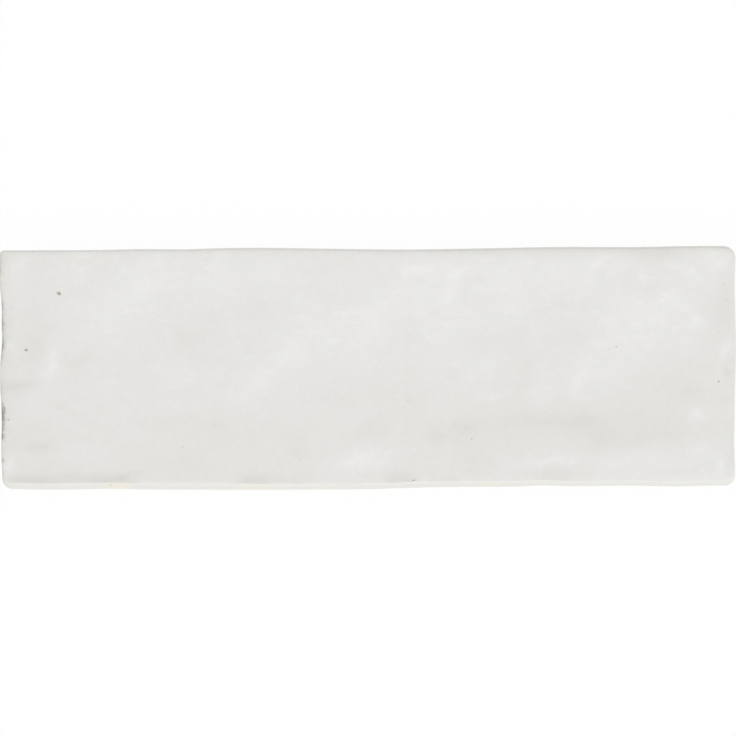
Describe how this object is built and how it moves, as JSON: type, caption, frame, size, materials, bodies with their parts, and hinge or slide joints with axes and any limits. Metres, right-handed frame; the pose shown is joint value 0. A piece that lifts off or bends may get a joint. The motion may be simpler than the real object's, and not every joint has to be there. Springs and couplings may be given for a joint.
{
  "type": "wall tile",
  "caption": "Rectangular glazed ceramic wall tile with hand-made wavy edges, a softly swelling glossy white face and a keyed back for adhesive.",
  "frame": {"origin": "middle of the back plane that the tile beds on, at the foot of the tile's bounding box", "axes": "+X along the tile's length, +Y across its width towards the side with the rolled edge and away from the bevelled side, +Z out of the glazed face"},
  "size_m": [0.2005, 0.0664, 0.0085],
  "materials": {
    "glazed_tile": "gloss"
  },
  "bodies": {
    "root": {"tile": "glazed_tile"}
  },
  "joints": []
}
